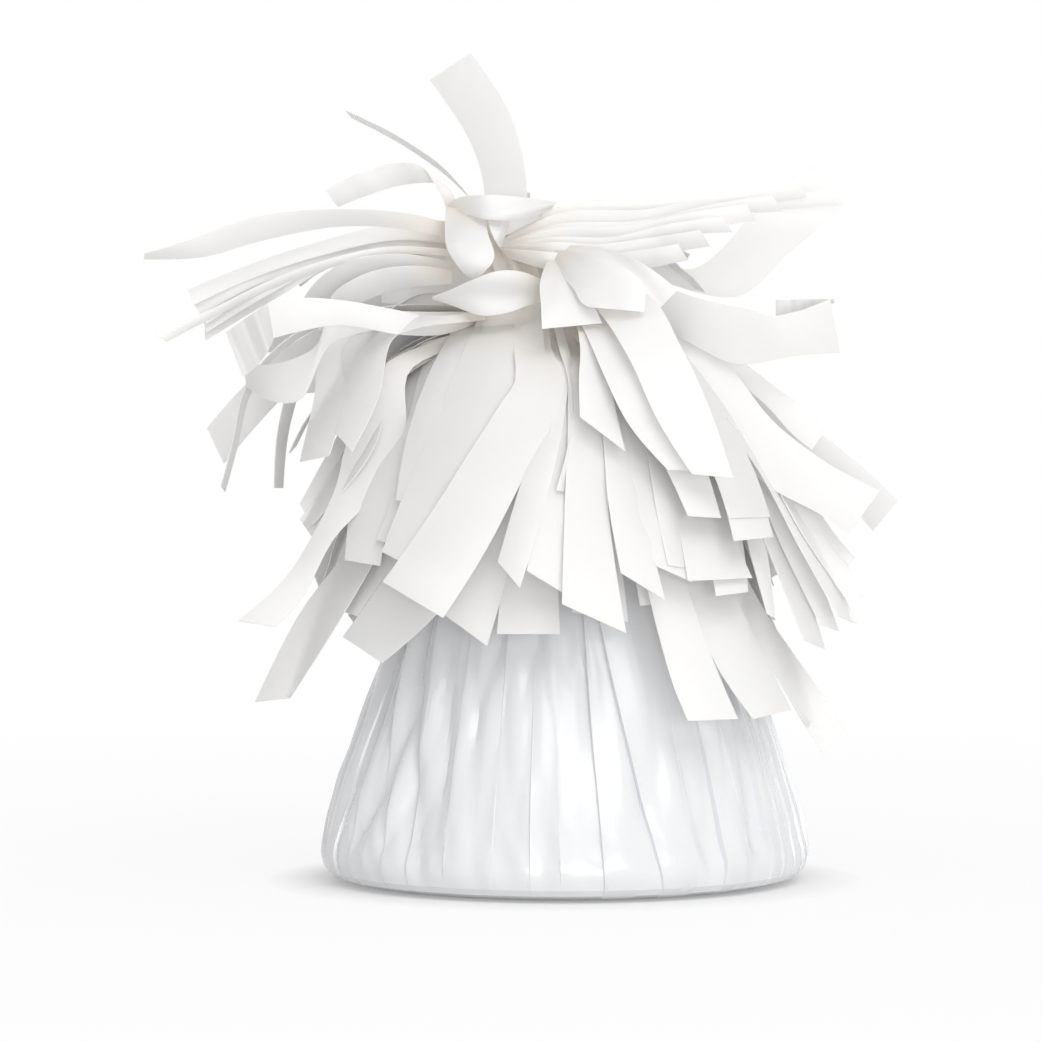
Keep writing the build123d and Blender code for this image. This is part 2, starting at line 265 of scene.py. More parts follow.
def swung_strip(root, azimuth, launch, crown, fall, roll, width):
    """Grid of a strip along two tangent arcs in an upright plane, pinched at its root."""
    outward = np.array((math.cos(azimuth), math.sin(azimuth), 0))
    level = np.array((math.sin(azimuth), -math.cos(azimuth), 0))
    side = level * math.cos(roll) - np.array((0, 0, math.sin(roll)))
    length = crown[0] + fall[0]
    s = ALONG * length
    heading = launch - np.where(
        s < crown[0],
        s / crown[0] * crown[1],
        crown[1] + (s - crown[0]) / max(fall[0], 1e-6) * fall[1],
    )
    steps = np.diff(s)[:, None]
    way = np.cos(heading)[:, None] * outward + np.sin(heading)[:, None] * np.array((0, 0, 1.0))
    line = root + np.concatenate([np.zeros((1, 3)), np.cumsum((way[1:] + way[:-1]) / 2 * steps, axis=0)])
    lift = np.cross(way, side)
    wide = width * np.minimum(1, ROOT_WIDTH + (1 - ROOT_WIDTH) * s / PINCH_LENGTH)
    skew = rng.uniform(-TIP_SKEW, TIP_SKEW) * width
    ramp = np.minimum(1, ALONG * 3)[:, None]
    out = (CUP * (1 - (2 * ACROSS - 1) ** 2) * ramp + crinkle(RING_WAVE * MM, False))[..., None]
    sheer = (ALONG**6)[:, None, None] * skew * (2 * ACROSS - 1)[None, :, None] * way[:, None, :]
    return line[:, None] + side * (wide[:, None] * (ACROSS - 0.5))[..., None] + lift[:, None] * out + sheer


# Edges sharper than this, in degrees, stay sharp
STRIP_SHARP = 50
WRAP_SHARP = 24


def film_object(name, points, faces, sharp, material):
    """New object, smooth apart from edges where the faces meet at more than sharp degrees."""
    mesh = bpy.data.meshes.new(name)
    mesh.from_pydata(points.tolist(), [], faces)
    mesh.polygons.foreach_set("use_smooth", np.ones(len(faces), bool))
    mesh.set_sharp_from_angle(angle=math.radians(sharp))
    mesh.materials.append(material)
    mesh.update()
    piece = bpy.data.objects.new(name, mesh)
    bpy.context.scene.collection.objects.link(piece)
    return piece


class Piece:
    """Gathers strips into one mesh, each of them a closed film."""

    def __init__(self):
        self.points, self.faces, self.along = [], [], []
        self.count, self.area, self.longest = 0, 0.0, 0.0

    def add_grid(self, grid, start=0.0):
        """Adds a strip; start is where its root lies along the film, from 0 at the stalk to 1 at a tip."""
        n, m = grid.shape[:2]
        du = np.gradient(grid, axis=0)
        dv = np.gradient(grid, axis=1)
        normal = np.cross(du, dv)
        normal /= np.linalg.norm(normal, axis=2, keepdims=True) + 1e-12
        front = (grid + normal * FILM / 2).reshape(-1, 3)
        back = (grid - normal * FILM / 2).reshape(-1, 3)
        index = np.arange(n * m).reshape(n, m) + self.count
        corners = [index[:-1, :-1], index[1:, :-1], index[1:, 1:], index[:-1, 1:]]
        skin = np.stack(corners, axis=-1).reshape(-1, 4)
        faces = [skin, skin[:, ::-1] + n * m]
        loop = np.concatenate([index[:-1, 0], index[-1, :-1], index[:0:-1, -1], index[0, :0:-1]])
        after = np.roll(loop, -1)
        faces.append(np.stack([loop, loop + n * m, after + n * m, after], axis=-1)[:, ::-1])
        self.points += [front, back]
        self.faces += faces
        along = np.repeat(np.linspace(start, 1, n), m)
        self.along += [along, along]
        self.count += 2 * n * m
        a, b = grid[1:, :-1] - grid[:-1, :-1], grid[:-1, 1:] - grid[:-1, :-1]
        self.area += float(np.linalg.norm(np.cross(a, b), axis=2).sum())
        line = grid[:, m // 2]
        self.longest = max(self.longest, float(np.linalg.norm(np.diff(line, axis=0), axis=1).sum()))

    def make(self, name, material):
        """New object that holds the strips."""
        faces = np.concatenate(self.faces).tolist()
        piece = film_object(name, np.concatenate(self.points), faces, STRIP_SHARP, material)
        # Share along the film, which the fringe material reads for its painted warm shade near the root
        store = piece.data.attributes.new("along", "FLOAT", "POINT")
        store.data.foreach_set("value", np.concatenate(self.along).astype(np.float32))
        return piece


def new_material(name):
    """New material, its node tree and its main shader."""
    material = bpy.data.materials.new(name)
    material.use_nodes = True
    tree = material.node_tree
    shader = tree.nodes["Principled BSDF"]
    return material, tree, shader


def bump_noise(tree, shader, scale, strength, distance):
    """Fine unevenness of a surface, by the place on the object."""
    coords = tree.nodes.new("ShaderNodeTexCoord")
    noise = tree.nodes.new("ShaderNodeTexNoise")
    noise.inputs["Scale"].default_value = scale
    noise.inputs["Detail"].default_value = 4.0
    bump = tree.nodes.new("ShaderNodeBump")
    bump.inputs["Strength"].default_value = strength
    bump.inputs["Distance"].default_value = distance
    tree.links.new(coords.outputs["Object"], noise.inputs["Vector"])
    tree.links.new(noise.outputs["Fac"], bump.inputs["Height"])
    tree.links.new(bump.outputs["Normal"], shader.inputs["Normal"])


def fringe_material():
    """Satin film that lets light through, with a painted warm shade near the root, where the strips crowd
    into shaded pockets.
    """
    material, tree, shader = new_material("fringe_film")
    shader.inputs["Roughness"].default_value = 0.5
    shader.inputs["Specular IOR Level"].default_value = 0.35
    bump_noise(tree, shader, 260.0, 0.12, 0.0004)
    along = tree.nodes.new("ShaderNodeAttribute")
    along.attribute_name = "along"
    # Painted shade: a warm tint at each strip's root for the shade in the pockets between strips, fading to
    # the film's white by 0.3 along
    ramp = tree.nodes.new("ShaderNodeValToRGB")
    ramp.color_ramp.elements[0].position = 0.0
    ramp.color_ramp.elements[0].color = (0.955, 0.915, 0.865, 1)
    ramp.color_ramp.elements[1].position = 0.3
    ramp.color_ramp.elements[1].color = (0.98, 0.976, 0.97, 1)
    tree.links.new(along.outputs["Fac"], ramp.inputs["Fac"])
    tree.links.new(ramp.outputs["Color"], shader.inputs["Base Color"])
    through_light = tree.nodes.new("ShaderNodeBsdfTranslucent")
    tree.links.new(ramp.outputs["Color"], through_light.inputs["Color"])
    mix = tree.nodes.new("ShaderNodeMixShader")
    mix.inputs["Fac"].default_value = 0.36
    out = tree.nodes["Material Output"]
    tree.links.new(shader.outputs["BSDF"], mix.inputs[1])
    tree.links.new(through_light.outputs["BSDF"], mix.inputs[2])
    tree.links.new(mix.outputs["Shader"], out.inputs["Surface"])
    return material


def wrap_material():
    """Glossy film of the base."""
    material, tree, shader = new_material("wrap_film")
    shader.inputs["Base Color"].default_value = (0.79, 0.795, 0.81, 1)
    shader.inputs["Roughness"].default_value = 0.24
    shader.inputs["Specular IOR Level"].default_value = 0.5
    shader.inputs["Coat Weight"].default_value = 0.4
    shader.inputs["Coat Roughness"].default_value = 0.18
    bump_noise(tree, shader, 190.0, 0.15, 0.0006)
    return material


def plain_material(name, colour, roughness, scale, strength):
    """Even colour with a fine grain."""
    material, tree, shader = new_material(name)
    shader.inputs["Base Color"].default_value = (*colour, 1)
    shader.inputs["Roughness"].default_value = roughness
    bump_noise(tree, shader, scale, strength, 0.0004)
    return material


FRINGE = fringe_material()
WRAP = wrap_material()
PLASTER = plain_material("core_plaster", (0.78, 0.77, 0.74), 0.85, 420.0, 0.5)
TIE = plain_material("tie_strip", (0.85, 0.85, 0.85), 0.45, 300.0, 0.2)
LINER = plain_material("liner_film", (0.9, 0.9, 0.9), 0.4, 220.0, 0.2)

pieces = {}


def piece_for(node):
    """Piece that takes the place of a node, new where there is none yet."""
    return pieces.setdefault(node, Piece())


# Strips traced from the picture: node, tier, layer (mm nearer than the tier), turn (mm that the second edge
# lies back from the first), pixel rows from root to tip and, for strips off the tiers, the depth of each row
# in mm.
TRACED = {
    # lowest tier
    "F8": ("low_fringe_front", "low", 0.6, -1.5, (
        (585, 400, 600, 398), (640, 560, 676, 556), (660, 640, 705, 640), (675, 690, 725, 690),
        (688, 721, 738, 719))),
    "F9": ("low_fringe_right", "low", 0.0, -1.0, (
        (590, 400, 605, 397), (660, 520, 690, 514), (690, 600, 735, 598), (715, 663, 764, 655),
        (753, 719, 791, 710))),
    "F10": ("low_fringe_right", "low", -0.8, 1.0, (
        (595, 395, 612, 390), (680, 510, 705, 500), (735, 605, 765, 612), (790, 700, 812, 680),
        (822, 754, 845, 728))),
    "S1": ("low_fringe_front", "low", -0.6, 1.0, (
        (530, 390, 545, 390), (500, 480, 530, 484), (455, 565, 505, 585), (428, 603, 487, 646))),
    "S2": ("low_fringe_front", "low", -1.6, 0.0, (
        (540, 390, 556, 390), (520, 480, 550, 480), (505, 560, 556, 560), (497, 634, 560, 634))),
    "S3": ("low_fringe_front", "low", -2.2, 0.0, (
        (556, 390, 575, 390), (570, 480, 600, 480), (575, 560, 620, 560), (572, 612, 628, 622))),
    "S4": ("low_fringe_front", "low", -1.8, 0.0, (
        (575, 390, 592, 390), (612, 480, 640, 476), (632, 560, 668, 552), (640, 606, 684, 600))),
    "LL4": ("low_fringe_left", "low", 0.4, -1.0, (
        (520, 400, 535, 405), (450, 480, 500, 500), (405, 545, 465, 575), (381, 583, 440, 610),
        (343, 637, 382, 663))),
    "LL3": ("low_fringe_left", "low", -0.6, -1.0, (
        (500, 400, 515, 400), (420, 480, 445, 485), (367, 559, 395, 561), (341, 611, 357, 616))),
    "LL2": ("low_fringe_left", "low", 0.6, -3.0, (
        (480, 390, 495, 395), (420, 435, 450, 440), (367, 507, 405, 502), (343, 555, 375, 560),
        (302, 610, 335, 628), (255, 702, 290, 698))),
    # main tier
    "LL1": ("main_fringe_left", None, 0.4, -2.0, (
        (470, 330, 480, 340), (425, 345, 442, 352), (388, 362, 412, 368), (347, 442, 403, 445),
        (335, 490, 372, 497), (309, 542, 333, 540), (281, 583, 303, 597), (238, 621, 275, 627))),
    "LLa": ("main_fringe_left", "main", -0.6, -1.0, (
        (450, 335, 460, 345), (380, 365, 400, 372), (335, 440, 372, 452), (300, 504, 312, 525))),
    "LLb": ("main_fringe_left", "main", -1.6, 2.0, (
        (450, 335, 460, 345), (385, 375, 400, 382), (340, 465, 356, 476), (300, 519, 312, 537))),
    "root_a": ("main_fringe_left", "main", -1.2, 0.0, (
        (488, 296, 505, 296), (462, 318, 486, 318), (440, 352, 470, 356), (412, 420, 452, 424),
        (396, 500, 430, 506))),
    "gap_a": ("main_fringe_left", "main", -3.5, 0.0, (
        (500, 332, 510, 338), (440, 345, 470, 350), (408, 420, 452, 424), (392, 500, 430, 506),
        (376, 540, 408, 548))),
    "gap_b": ("main_fringe_left", "main", -4.5, 0.0, (
        (490, 332, 500, 338), (420, 350, 445, 352), (380, 420, 420, 424), (352, 500, 392, 506),
        (345, 560, 380, 566))),
    "F1": ("main_fringe_left", "main", -0.2, -1.0, (
        (505, 286, 540, 286), (481, 316, 540, 308), (460, 360, 545, 368), (430, 434, 506, 442),
        (410, 480, 474, 494), (382, 552, 432, 578))),
    "F1b": ("main_fringe_front", "main", -1.4, -1.5, (
        (535, 338, 545, 342), (505, 360, 525, 366), (470, 430, 505, 445), (440, 500, 480, 520),
        (425, 560, 462, 590))),
    "F2": ("main_fringe_front", "main", 0.9, 1.0, (
        (522, 300, 550, 300), (514, 326, 549, 332), (514, 352, 554, 356), (516, 378, 566, 374),
        (500, 405, 563, 408), (468, 455, 530, 466), (430, 515, 485, 552), (383, 582, 443, 618))),
    "F3a": ("main_fringe_front", "main", 0.5, -1.0, (
        (545, 318, 560, 320), (548, 360, 568, 362), (542, 420, 564, 420), (519, 490, 546, 500),
        (498, 562, 520, 588))),
    "F3b": ("main_fringe_front", "main", 0.1, 1.2, (
        (548, 318, 566, 320), (556, 360, 582, 360), (552, 420, 586, 422), (540, 480, 577, 486),
        (527, 571, 562, 592))),
    "F3c": ("main_fringe_front", "main", 0.7, 2.0, (
        (552, 318, 560, 320), (558, 345, 567, 343), (567, 374, 574, 371), (570, 430, 578, 428),
        (556, 490, 566, 492))),
    "F4": ("main_fringe_front", "main", 0.8, 0.6, (
        (560, 318, 584, 318), (567, 372, 600, 370), (568, 420, 606, 425), (565, 500, 608, 505),
        (562, 604, 626, 633))),
    "F5a": ("main_fringe_front", "main", 0.9, 1.0, (
        (572, 320, 596, 318), (592, 380, 622, 378), (602, 430, 634, 440), (608, 500, 645, 515),
        (621, 573, 665, 600))),
    "F5b": ("main_fringe_front", "main", 0.4, 0.6, (
        (582, 322, 606, 320), (612, 400, 650, 398), (626, 460, 668, 460), (636, 520, 680, 520),
        (656, 566, 692, 582))),
    "F7a": ("main_fringe_front", "main", 0.6, 0.8, (
        (588, 324, 612, 320), (636, 400, 672, 396), (648, 460, 690, 455), (658, 520, 684, 516),
        (668, 565, 686, 568))),
    "F7b": ("main_fringe_right", "main", 0.3, 0.6, (
        (572, 342, 586, 336), (656, 440, 690, 436), (678, 525, 726, 520), (688, 581, 752, 578))),
    "F7c": ("main_fringe_right", "main", -1.0, 0.6, (
        (572, 342, 586, 336), (670, 440, 704, 432), (706, 545, 742, 540), (716, 596, 748, 592))),
    "F9a": ("main_fringe_right", "main", 0.2, 0.4, (
        (580, 340, 590, 334), (680, 425, 700, 420), (735, 500, 756, 498), (752, 560, 768, 560),
        (767, 614, 775, 618))),
    "R4e": ("main_fringe_right", "main", 0.6, 0.6, (
        (590, 338, 600, 332), (690, 410, 705, 402), (735, 470, 757, 465), (772, 560, 794, 556),
        (804, 640, 825, 649))),
    "R4d": ("main_fringe_right", "main", 1.2, 0.6, (
        (592, 336, 602, 330), (694, 405, 710, 396), (742, 462, 764, 455), (786, 556, 808, 550),
        (820, 625, 839, 631))),
    "R4c": ("mantle_fringe_right", "mantle", -1.6, 0.6, (
        (594, 334, 604, 328), (700, 400, 716, 391), (750, 458, 770, 449), (802, 552, 820, 544),
        (838, 616, 857, 624))),
    "R4b": ("mantle_fringe_right", "mantle", -0.8, 0.6, (
        (596, 332, 606, 326), (705, 396, 722, 386), (752, 448, 775, 440), (806, 540, 830, 530),
        (848, 602, 863, 596))),
    "R4a": ("mantle_fringe_right", "mantle", -1.2, 0.6, (
        (598, 330, 608, 324), (710, 392, 726, 381), (756, 440, 778, 432), (796, 505, 822, 516),
        (848, 565, 855, 558))),
    # mantle
    "F5c": ("mantle_fringe_front", "mantle", -0.6, 1.5, (
        (574, 312, 600, 310), (580, 345, 604, 346), (579, 380, 612, 394), (580, 417, 625, 451))),
    "F6a": ("mantle_fringe_front", "mantle", -0.8, 0.8, (
        (566, 330, 580, 322), (625, 395, 668, 385), (662, 460, 700, 452), (688, 516, 721, 518))),
    "F6b": ("mantle_fringe_right", "mantle", -0.2, 0.8, (
        (572, 326, 586, 318), (668, 395, 700, 385), (712, 470, 750, 462), (729, 518, 770, 517))),
    "F6d": ("mantle_fringe_right", "mantle", -1.0, 0.8, (
        (572, 326, 586, 318), (674, 400, 706, 390), (716, 478, 752, 470), (734, 541, 773, 537))),
    "U1": ("upper_fringe_front", None, 0.0, 1.6, (
        (575, 285, 605, 275), (604, 318, 652, 298), (630, 360, 680, 345), (655, 415, 706, 400),
        (692, 474, 733, 478)), (-11, -21, -27, -30, -32)),
    "U2": ("upper_fringe_front", None, 0.0, 1.6, (
        (562, 296, 585, 290), (584, 330, 622, 326), (604, 375, 645, 368), (626, 420, 666, 412),
        (668, 470, 700, 470)), (-10, -20, -25.5, -28.5, -30.5)),
    "R1": ("mantle_fringe_right", None, 1.0, 1.0, (
        (560, 285, 575, 275), (625, 318, 652, 298), (680, 352, 706, 332), (704, 380, 738, 376),
        (724, 428, 768, 416), (758, 478, 800, 444), (823, 516, 846, 474), (848, 534, 880, 491))),
    "R2": ("mantle_fringe_right", None, 0.0, -1.5, (
        (590, 305, 600, 296), (690, 360, 706, 346), (735, 400, 756, 378), (796, 459, 819, 432),
        (837, 492, 860, 465), (873, 531, 898, 501))),
    "R5": ("mantle_fringe_right", "mantle", -2.4, 0.5, (
        (600, 300, 610, 290), (690, 350, 705, 336), (735, 380, 756, 372), (768, 407, 784, 394),
        (792, 434, 811, 412), (812, 450, 824, 432))),
    # upper left
    "curtain_a": ("mantle_fringe_left", "mantle", -3.0, -1.0, (
        (488, 312, 490, 320), (455, 315, 462, 322), (385, 318, 395, 326), (330, 330, 362, 330),
        (314, 400, 346, 402), (300, 462, 329, 456))),
    "curtain_b": ("mantle_fringe_left", "mantle", -2.0, -1.0, (
        (488, 312, 490, 320), (455, 315, 462, 322), (400, 322, 410, 330), (352, 338, 392, 340),
        (344, 400, 376, 404), (335, 432, 352, 452))),
    "L1e": ("upper_fringe_left", None, 0.0, -1.0, (
        (455, 246, 458, 258), (405, 238, 410, 252), (340, 249, 346, 261), (268, 288, 275, 299),
        (205, 330, 205, 341))),
    "L1d": ("upper_fringe_left", None, 0.5, -1.0, (
        (455, 243, 458, 256), (403, 235, 409, 249), (334, 246, 342, 259), (260, 283, 268, 295),
        (204, 320, 206, 333))),
    "L1c": ("upper_fringe_left", None, 1.0, -1.0, (
        (455, 240, 458, 254), (402, 232, 408, 247), (328, 244, 337, 258), (252, 277, 260, 291),
        (199, 311, 206, 324))),
    "L1b": ("upper_fringe_left", None, 1.5, -1.0, (
        (455, 237, 458, 250), (401, 230, 406, 246), (320, 246, 330, 260), (243, 272, 250, 288),
        (193, 303, 201, 315))),
    "L1a": ("upper_fringe_left", None, 2.0, -1.0, (
        (455, 233, 458, 246), (400, 225, 404, 240), (312, 244, 320, 256), (236, 270, 243, 282),
        (188, 290, 194, 305))),
    "L2": ("upper_fringe_left", None, 0.0, 1.0, (
        (455, 250, 456, 257), (400, 246, 402, 254), (300, 268, 304, 276), (205, 312, 208, 320),
        (156, 335, 166, 342)), (-5, -6, -8, -9, -10)),
    "L3": ("upper_fringe_left", None, 0.0, 3.0, (
        (452, 262, 452, 276), (395, 254, 400, 275), (345, 262, 356, 283), (314, 284, 326, 300),
        (300, 304, 312, 313)), (-5, -6, -6, -3, 1)),
    "L3b": ("upper_fringe_left", None, 0.0, 3.0, (
        (452, 270, 452, 284), (405, 266, 408, 288), (360, 276, 370, 298), (330, 298, 344, 314),
        (318, 330, 334, 334)), (-6, -7, -7, -5, -2)),
    "L3c": ("upper_fringe_left", None, 0.0, 0.0, (
        (484, 248, 482, 290), (452, 248, 450, 303), (420, 256, 420, 305), (380, 274, 382, 303),
    ), (-3, -2, -1, 1)),
    "L5": ("main_fringe_left", None, 0.0, 0.0, (
        (490, 312, 491, 320), (430, 312, 432, 326), (370, 312, 372, 330), (332, 316, 330, 345),
        (312, 350, 300, 400), (268, 365, 266, 399), (243, 362, 247, 387)), (-5, -6, -8, -9, -9, -6, -2)),
    "L6": ("mantle_fringe_left", None, 0.0, 1.0, (
        (486, 310, 488, 320), (420, 312, 424, 326), (350, 315, 356, 335), (290, 345, 315, 366),
        (243, 387, 267, 414), (207, 428, 224, 464))),
    "L7": ("mantle_fringe_left", None, 0.0, 4.0, (
        (484, 308, 485, 312), (390, 306, 392, 312), (300, 330, 306, 334), (264, 360, 270, 362),
        (243, 394, 249, 397), (233, 440, 238, 444), (221, 486, 225, 492)), (-2, -1, 0, 1, 2, 3, 4)),
    "L8": ("main_fringe_left", None, 0.0, 4.0, (
        (488, 312, 490, 320), (400, 322, 404, 330), (330, 335, 340, 340), (297, 368, 309, 370),
        (281, 414, 292, 416), (274, 488, 283, 488)), (-2, -2, -1, 3, 5, 6)),
    # crown and gathered folds
    "ruffle": ("crown_fringe_front", None, 0.0, 0.0, (
        (446, 208, 452, 236), (458, 198, 466, 216), (480, 195, 484, 219), (508, 196, 512, 220),
        (534, 199, 534, 216), (556, 203, 552, 208)), (-4, -8, -12, -12, -8, -4)),
    "ruffle_b": ("crown_fringe_front", None, 0.0, 0.0, (
        (486, 200, 488, 232), (502, 198, 503, 236), (520, 199, 520, 228), (542, 203, 542, 218),
    ), (-5, -7, -6.6, -4)),
    "K1": ("crown_fringe_front", None, 0.0, -2.0, (
        (446, 207, 484, 212), (445, 228, 488, 234), (449, 252, 494, 258), (465, 274, 484, 272),
        (472, 280, 475, 280)), (-6.5, -13, -16.5, -16, -14)),
    "K1b": ("crown_fringe_front", None, 0.0, 2.5, (
        (486, 212, 511, 214), (490, 228, 508, 226), (495, 240, 504, 238), (500, 248, 502, 247),
    ), (-7.5, -11, -12, -10)),
    "K2": ("upper_fringe_front", None, 0.0, 2.0, (
        (548, 284, 546, 300), (526, 273, 530, 305), (498, 271, 506, 313), (470, 281, 480, 315),
        (448, 291, 454, 306), (432, 297, 433, 299)), (-9, -13, -15, -15, -13, -11)),
    "K3": ("upper_fringe_front", None, 0.0, 1.5, (
        (548, 258, 562, 256), (540, 284, 580, 280), (541, 306, 592, 302), (542, 329, 602, 323),
    ), (-9, -16, -20, -22)),
    "K4": ("upper_fringe_front", None, 0.0, -2.0, (
        (552, 262, 556, 250), (562, 276, 590, 256), (574, 289, 622, 266), (583, 304, 645, 292),
        (590, 307, 644, 312)), (-9, -16, -20, -22, -23)),
    "K5": ("upper_fringe_front", None, 0.0, 0.0, (
        (556, 256, 562, 246), (590, 268, 604, 248), (622, 288, 640, 262), (652, 316, 678, 290),
    ), (-8, -14, -18, -20)),
    # right
    "R6": ("right_curl_strip", None, 0.0, -3.0, (
        (575, 298, 580, 285), (640, 315, 655, 285), (692, 344, 704, 300), (738, 364, 746, 309),
        (795, 356, 778, 316), (840, 353, 830, 299)), (-5, -9, -12, -13, -13, -9)),
    "R6_end": ("right_curl_strip", None, 0.0, 0.0, (
        (834, 299, 835, 303), (805, 299.5, 806, 309), (776, 300, 776, 316)), (-9, -4, -1)),
    "R7b": ("back_right_strip", None, 0.0, 1.0, (
        (560, 262, 566, 274), (640, 256, 648, 279), (696, 268, 735, 297), (752, 216, 790, 252),
        (808, 163, 845, 205)), (4, 8, 12, 15, 18)),
    # strips that stand out by themselves
    "tall": ("tall_strip", None, 0.0, -3.5, (
        (488, 245, 522, 243), (486, 200, 527, 197), (474, 150, 515, 128), (430, 80, 470, 53)), (0, 0, 2, 4)),
    "edge": ("edge_strip", None, 0.0, 3.0, (
        (474, 224, 478, 228), (470, 200, 474, 205), (452, 176, 458, 186), (408, 142, 414, 152),
        (345, 110, 352, 118)), (3, 3, 4, 7, 10)),
    "hook": ("hook_strip", None, 0.0, 0.5, (
        (450, 222, 459, 222), (438, 190, 450, 190), (422, 167, 436, 183), (398, 163, 408, 184),
        (360, 173, 371, 194), (325, 190, 338, 207)), (-2, -2, -1, 0, 1, 2)),
    "long_left": ("long_left_strip", None, 0.0, 3.0, (
        (455, 226, 456, 240), (440, 221, 440, 236), (388, 211, 388, 227), (343, 209, 346, 226),
        (245, 220, 256, 242), (190, 240, 202, 257), (145, 253, 144, 259)), (-4, -6, -8, -10, -13, -15, -17)),
    "folded_left": ("folded_left_strip", None, 0.0, 0.0, (
        (482, 306, 483, 320), (447, 318, 450, 333), (391, 309, 404, 335), (340, 300, 338, 325),
        (300, 298, 301, 331), (268, 303, 274, 338)), (-3, -8, -12, -14, -15, -15)),
    "folded_flap": ("folded_left_strip", None, 0.0, 0.0, (
        (268, 303, 274, 338), (246, 318, 262, 360), (226, 332, 243, 377)), (-15, -12, -9)),
}

# Gathered folds, whose waves run along them
FOLDS = {"ruffle", "ruffle_b", "K1", "K1b", "K2", "K3", "K4", "K5"}
# Strips that carry on from the tip of another, and where they start along the film, past the painted warm
# shade of a root
CARRIED_ON = {"folded_flap": 0.5, "R6_end": 0.5}
for label, row in TRACED.items():
    node, tier, layer, turn, rows = row[:5]
    depths = row[5] if len(row) > 5 else None
    folded = label in FOLDS
    wave = FOLD_WAVE if folded else EDGE_WAVE if label == "edge" else STRIP_WAVE
    grid = traced_strip(rows, tier, layer, turn, depths, wave, BENDS.get(label), folded)
    piece_for(node).add_grid(grid, CARRIED_ON.get(label, 0.0))

# Right spray: strips stacked like a fan from the gathered top out to the right, with the pixels of the root
# and of each tip, the height of each crest, each width in pixels, and the turn in mm
SPRAY_ROOT = (500, 246)
SPRAY_TIPS = ((838, 199), (803, 190), (778, 205), (752, 214), (728, 226), (706, 240), (684, 254))
SPRAY_CRESTS = (203, 209, 219, 222, 231, 236, 246)
SPRAY_WIDTHS = (13, 20, 14, 19, 13, 18, 20)
SPRAY_TURN = 0.8
SPRAY_CREST_X = 552
SPRAY_END = 60
for number, (tip_x, tip_y) in enumerate(SPRAY_TIPS):
    crest, broad = SPRAY_CRESTS[number], SPRAY_WIDTHS[number]
    middle_x = (SPRAY_CREST_X + tip_x - SPRAY_END) / 2
    spray_rows = (
        (SPRAY_ROOT[0], SPRAY_ROOT[1] - 4 + number, SPRAY_ROOT[0] + 8, SPRAY_ROOT[1] + 6 + number),
        (SPRAY_CREST_X, crest + 6, SPRAY_CREST_X + 8, crest + 6 + broad),
        (middle_x, crest - 2 + 2 * number, middle_x + 6, crest - 2 + broad + 2 * number),
        (tip_x - SPRAY_END, tip_y - 2, tip_x - SPRAY_END + 6, tip_y - 3 + broad),
        (tip_x - 6, tip_y - 10, tip_x + 4, tip_y + 6),
    )
    spray_depths = (-6.5, -4 - 0.9 * number, 0.5 - 1.5 * number, 6 - 2.4 * number, 9 - 2.9 * number)
    grid = traced_strip(spray_rows, None, 0.0, SPRAY_TURN, spray_depths, SPRAY_WAVE)
    piece_for("right_spray").add_grid(grid)

# Outline of the fringe in the picture: the strips behind the traced ones stay inside it.
FRINGE_OUTLINE = np.array(
    (
        *((430, 215), (478, 205), (478, 172), (534, 172), (534, 202), (700, 208), (690, 270), (740, 312)),
        *((755, 366), (800, 400), (825, 440), (862, 500), (846, 540), (852, 596)),
        *((822, 636), (784, 590), (776, 616), (800, 700), (742, 714)),
        *((690, 714), (640, 622), (600, 624), (500, 630), (440, 648), (385, 655), (345, 635), (300, 600)),
        *((262, 690), (245, 618), (310, 540), (302, 508), (330, 456), (302, 456), (284, 486), (275, 486)),
        *((284, 412), (225, 458), (210, 430), (245, 386), (232, 345), (270, 305), (310, 285), (270, 295)),
        *((210, 330), (192, 296), (300, 250), (400, 224)),
    ),
    float,
)


def inside_outline(px, py):
    """Whether each pixel lies inside the outline of the fringe."""
    inside = np.zeros(px.shape, bool)
    for (x0, y0), (x1, y1) in zip(FRINGE_OUTLINE, np.roll(FRINGE_OUTLINE, -1, axis=0)):
        crosses = (y0 > py) != (y1 > py)
        inside ^= crosses & (px < (x1 - x0) * (py - y0) / (y1 - y0 + 1e-12) + x0)
    return inside


# Strips behind and between, placed as the frame's. A tier's strips are traced where they face the camera by
# more than TRACED_SIDE.
QUARTERS = ("right", "back", "left", "front")
TRACED_SIDE = {"low": 0.3, "main": 0.3, "mantle": 0.0, "upper": -0.1, "crown": -0.1}
# Degrees by which a crown strip at the back may launch lower, so that it stays behind the front ones
CROWN_DROPS = tuple(range(0, 61, 4))
# Shares of the strip length by which a strip may be cut, and the least that is left of its fall
CUTS = np.arange(0, 0.6, 0.06)
LEAST_FALL = 0.06
# A strip between two of the ring starts lower, by this share of the stalk, and launches lower, by degrees
BETWEEN_ROOT = 0.05
BETWEEN_DROP = 4
# Degrees: spread of the launch from strip to strip, mean roll, and spread of the roll
LAUNCH_SPREAD = 1.2
RING_ROLL = 9
ROLL_SPREAD = 4


def wobble(number, spread):
    """The frame's steady, uneven offset for the numbered strip."""
    return spread * (2 * (number * 0.618 % 1) - 1)


